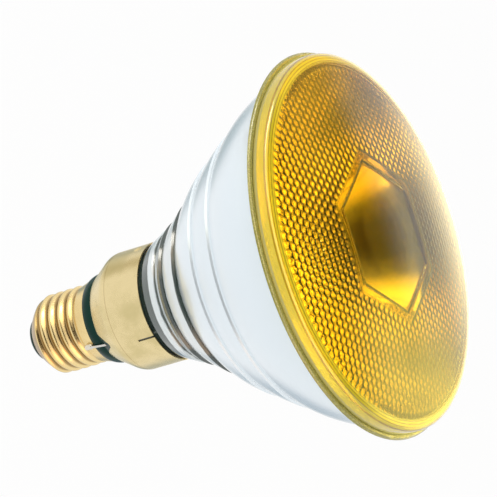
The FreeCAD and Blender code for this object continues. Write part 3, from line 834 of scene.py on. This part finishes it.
        # Painted shade lies on the inside and the teeth alone.
        shade = self.shade(points[:, 0], points[:, 1])
        shade[shaded_count:] = 0.0
        return Surface(points, np.concatenate([field[:, ::-1], *walls, fan]), shade)


# CAD nodes


@dataclass(frozen=True)
class Dressing:
    """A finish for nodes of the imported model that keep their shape."""

    nodes: tuple[str, ...]
    finish: Union[MirroredGlass, Brass, Plain]

    def dress(self) -> None:
        """Put the finish on each node."""
        material = self.finish.material()
        for name in self.nodes:
            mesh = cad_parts[name].data
            mesh.materials.clear()
            mesh.materials.append(material)


DRESSINGS = (
    Dressing(("reflector",), MirroredGlass()),
    Dressing(("skirt",), Brass(
        "satin_brass", (0.80, 0.66, 0.36), (0.62, 0.52, 0.25), 0.2,
        crease_height=39.5 * MM, dent_depth=0.16 * MM,
    )),
    Dressing(("screw_shell",), Brass(
        "rolled_brass", (0.87, 0.68, 0.33), (0.78, 0.59, 0.27), 0.16, groove_radius=12.4 * MM,
    )),
    Dressing(("skirt_cement",), Plain("cement", (0.16, 0.17, 0.15), (0.10, 0.11, 0.10), 0.6)),
    Dressing(("cap_insulator", "insulating_ring"), Plain(
        "black_glass", (0.001, 0.026, 0.018), (0.003, 0.038, 0.028), 0.12, ior=1.22, relief=0.01 * MM,
    )),
    Dressing(("centre_contact",), Plain(
        "tinned_brass", (0.62, 0.66, 0.72), (0.5, 0.53, 0.58), 0.25, metallic=1.0,
    )),
    Dressing(("contact_solder", "side_solder"), Plain(
        "solder", (0.66, 0.55, 0.34), (0.86, 0.84, 0.78), 0.2, metallic=1.0,
    )),
    Dressing(("side_lead", "contact_lead"), Plain(
        "tinned_wire", (0.75, 0.74, 0.7), (0.6, 0.58, 0.52), 0.25, metallic=1.0,
    )),
    Dressing(("lead_ferrules",), Plain(
        "ferrule_steel", (0.4, 0.4, 0.4), (0.3, 0.3, 0.3), 0.35, metallic=1.0,
    )),
    Dressing(("lead_posts",), Plain("post_steel", (0.5, 0.5, 0.5), (0.4, 0.4, 0.4), 0.3, metallic=1.0)),
    Dressing(("filament",), Plain("tungsten", (0.3, 0.3, 0.31), (0.2, 0.2, 0.2), 0.4, metallic=1.0)),
)


# Studio


class Outline(Enum):
    """The outline of a card."""

    SQUARE = "square"
    ROUND = "round"


@dataclass(frozen=True)
class Lamp:
    """A soft box that points at the studio's aim: its place and size in metres, and its power in watts."""

    name: str
    place: Place
    size: float
    power: float


@dataclass(frozen=True)
class Card:
    """A glowing card with soft edges that only metal and glass see.

    It stands at an azimuth and elevation from the lamp, and its width and height are the angles that it
    fills there, all in degrees. Its distance is in metres. Blur is the share of half its size over which it
    fades out.
    """

    name: str
    azimuth: float
    elevation: float
    width: float
    height: float
    colour: Colour
    distance: float
    blur: float
    outline: Outline = Outline.SQUARE
    through_glass: bool = True

    def build(self) -> None:
        """Stand the card up, square to the line from the lamp: the middle plus or minus half of each side."""
        azimuth, elevation = math.radians(self.azimuth), math.radians(self.elevation)
        out = np.array([
            math.cos(azimuth) * math.cos(elevation),
            math.sin(azimuth) * math.cos(elevation),
            math.sin(elevation),
        ])
        side = np.array([-math.sin(azimuth), math.cos(azimuth), 0.0])
        rise = np.cross(out, side)
        half_width = self.distance * math.tan(math.radians(self.width / 2))
        half_height = self.distance * math.tan(math.radians(self.height / 2))
        signs = np.array([[-1, -1], [1, -1], [1, 1], [-1, 1]])
        points = out * self.distance + signs[:, :1] * half_width * side + signs[:, 1:] * half_height * rise
        card = make_piece(self.name, Surface(points, np.array([[0, 1, 2], [0, 2, 3]])), smooth=False)
        card.data.materials.append(self.paper(tuple(side / half_width), tuple(rise / half_height)))
        for sight in ("visible_camera", "visible_diffuse", "visible_shadow", "visible_volume_scatter"):
            setattr(card, sight, False)
        card.visible_transmission = self.through_glass

    def paper(self, across: Place, upward: Place) -> bpy.types.Material:
        """Return the card's paper, which glows and fades to clear air at the edges.

        Args:
            across: the direction along the width, over half the width.
            upward: the direction along the height, over half the height.

        Returns:
            The material.
        """
        shading = Shading.of_material(self.name + "_paper")
        place = shading.place()
        x, y = place.along(across), place.along(upward)
        if self.outline is Outline.ROUND:
            mask = (x * x + y * y).root().within(1.0 - self.blur / 2, self.blur)
        else:
            mask = x.within(1.0 - self.blur / 2, self.blur) * y.within(1.0 - self.blur / 2, self.blur)
        air = shading.node("ShaderNodeBsdfTransparent", {}, {})
        return shading.finish(shading.mix(mask, air, shading.glow(self.colour)))


@dataclass(frozen=True)
class Studio:
    """White floor, soft boxes, cards and the camera of the photograph."""

    floor_height: float = -0.45
    floor_reach: float = 4.0
    floor_lines: int = 9
    floor_colour: Colour = (0.9, 0.9, 0.9)
    floor_glow: float = 0.92
    ambient: float = 0.75
    aim: Place = (0.0, 0.0, 0.08)
    picture_width: float = 497.0
    focal_pixels: float = 3500.0
    sensor: float = 36.0
    clip: tuple[float, float] = (0.05, 20.0)
    tilt: float = 61.0
    roll: float = 16.9
    target_height: float = 122.7 * MM
    target: Place = (34.3 * MM, -1.3 * MM, 1088.1 * MM)
    # Name, place, size and power.
    lamps: tuple[Lamp, ...] = (
        Lamp("key", (-1.3, -0.6, 1.0), 1.2, 9.0),
        Lamp("fill", (0.9, -0.9, 1.3), 1.2, 4.0),
    )
    # Name, azimuth, elevation, width, height, colour, distance and blur.
    cards: tuple[Card, ...] = (
        Card("room", -90.0, 20.0, 120.0, 60.0, (0.08, 0.06, 0.04), 3.2, 0.5),
        Card("ceiling", -90.0, 73.0, 150.0, 46.0, (4.4, 3.3, 2.4), 2.7, 0.5),
        Card("flag_camera", -90.0, 29.0, 74.0, 42.0, (0.025, 0.02, 0.012), 2.0, 0.4, Outline.ROUND),
        Card("box_right", -152.0, 26.0, 74.0, 60.0, (2.8, 2.5, 1.9), 2.5, 0.5),
        Card("box_left", -30.0, 26.0, 70.0, 60.0, (2.1, 1.5, 1.1), 2.5, 0.5),
        Card("strip", 176.0, 38.0, 50.0, 15.0, (11.0, 10.5, 9.5), 2.3, 0.4),
        Card("flag_ceiling_back", 90.0, 63.5, 78.0, 90.0, (0.02, 0.02, 0.02), 2.2, 0.3),
        Card("glow_low", 66.0, 27.0, 48.0, 60.0, (4.0, 3.3, 1.0), 2.0, 0.5, through_glass=False),
        Card("glow_top", 118.0, 32.0, 50.0, 56.0, (2.3, 1.4, 0.2), 2.0, 0.5, through_glass=False),
        Card("glow_back", 90.0, 2.0, 110.0, 58.0, (7.4, 6.6, 4.2), 2.6, 0.9),
        Card("flag_low_left", 55.0, -34.0, 60.0, 52.0, (0.36, 0.44, 0.50), 0.5, 0.6),
        Card("flag_low_right", 125.0, -34.0, 60.0, 52.0, (0.30, 0.38, 0.40), 0.5, 0.6),
        Card("flag_skirt", 170.0, -29.0, 56.0, 60.0, (0.50, 0.45, 0.30), 0.7, 0.7),
    )

    def build(self) -> None:
        """Set up the whole studio."""
        for card in self.cards:
            card.build()
        self.lay_floor()
        self.light_world()
        for lamp in self.lamps:
            self.hang(lamp)
        self.set_camera()

    def lay_floor(self) -> None:
        """Lay the floor: a plain grid that shows white and keeps the shadows that fall on it."""
        lines = np.linspace(-self.floor_reach, self.floor_reach, self.floor_lines)
        x, y = np.meshgrid(lines, lines, indexing="ij")
        points = np.stack([x.ravel(), y.ravel(), np.full(x.size, self.floor_height)], axis=1)
        floor = make_piece("floor", Surface(points, grid(self.floor_lines)))
        shading = Shading.of_material("floor_paper")
        paper = shading.surface(Base_Color=self.floor_colour, Roughness=0.9)
        shown = shading.mix(self.floor_glow * shading.seen(), paper, shading.glow(WHITE))
        floor.data.materials.append(shading.finish(shown))

    def light_world(self) -> None:
        """Light the room evenly, and show it white to the camera, to metal and to glass."""
        shading = Shading(bpy.data.worlds.new("studio"))
        strength = self.ambient + (1.0 - self.ambient) * shading.seen()
        room = shading.node("ShaderNodeBackground", {}, {"Color": WHITE, "Strength": strength})
        bpy.context.scene.world = shading.finish(room)

    def hang(self, lamp: Lamp) -> None:
        """Hang a soft box and point it at the aim.

        Args:
            lamp: the soft box.
        """
        light = bpy.data.lights.new(lamp.name, "AREA")
        light.shape = "SQUARE"
        light.size = lamp.size
        light.energy = lamp.power
        holder = bpy.data.objects.new(lamp.name, light)
        place = Vector(lamp.place)
        holder.location = place
        holder.rotation_mode = "QUATERNION"
        holder.rotation_quaternion = (Vector(self.aim) - place).to_track_quat("-Z", "Y")
        holder.visible_glossy = False
        holder.visible_transmission = False
        bpy.context.scene.collection.objects.link(holder)

    def set_camera(self) -> None:
        """Set the camera from its tilt to the lamp's axis, its roll and the place of the seam in its view."""
        roll, tilt = math.radians(self.roll), math.radians(self.tilt)
        right = Vector((math.sin(roll), math.cos(roll) * math.cos(tilt), math.sin(tilt) * math.cos(roll)))
        down = Vector((math.cos(roll), -math.sin(roll) * math.cos(tilt), -math.sin(tilt) * math.sin(roll)))
        ahead = Vector((0.0, math.sin(tilt), -math.cos(tilt)))
        seen_right, seen_down, seen_ahead = self.target
        offset = right * seen_right + down * seen_down + ahead * seen_ahead
        place = Vector((0.0, 0.0, self.target_height)) - offset
        camera = bpy.data.cameras.new("camera")
        camera.sensor_width = self.sensor
        camera.lens = self.focal_pixels / self.picture_width * self.sensor
        camera.clip_start, camera.clip_end = self.clip
        holder = bpy.data.objects.new("camera", camera)
        view = Matrix((right, -down, -ahead)).transposed().to_4x4()
        holder.matrix_world = Matrix.Translation(place) @ view
        bpy.context.scene.collection.objects.link(holder)
        bpy.context.scene.camera = holder


def main() -> None:
    """Build the pieces, dress the nodes and set up the studio."""
    logging.basicConfig(level=logging.INFO, format="%(message)s")
    bpy.context.scene.view_settings.view_transform = "Standard"
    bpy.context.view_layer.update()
    lens = Lens().build()
    log.info("%s: %d triangles", lens.name, len(lens.data.polygons))
    for dressing in DRESSINGS:
        dressing.dress()
        log.info("%s dressed", ", ".join(dressing.nodes))
    Studio().build()
    log.info("studio set up")


if __name__ == "__main__":
    main()
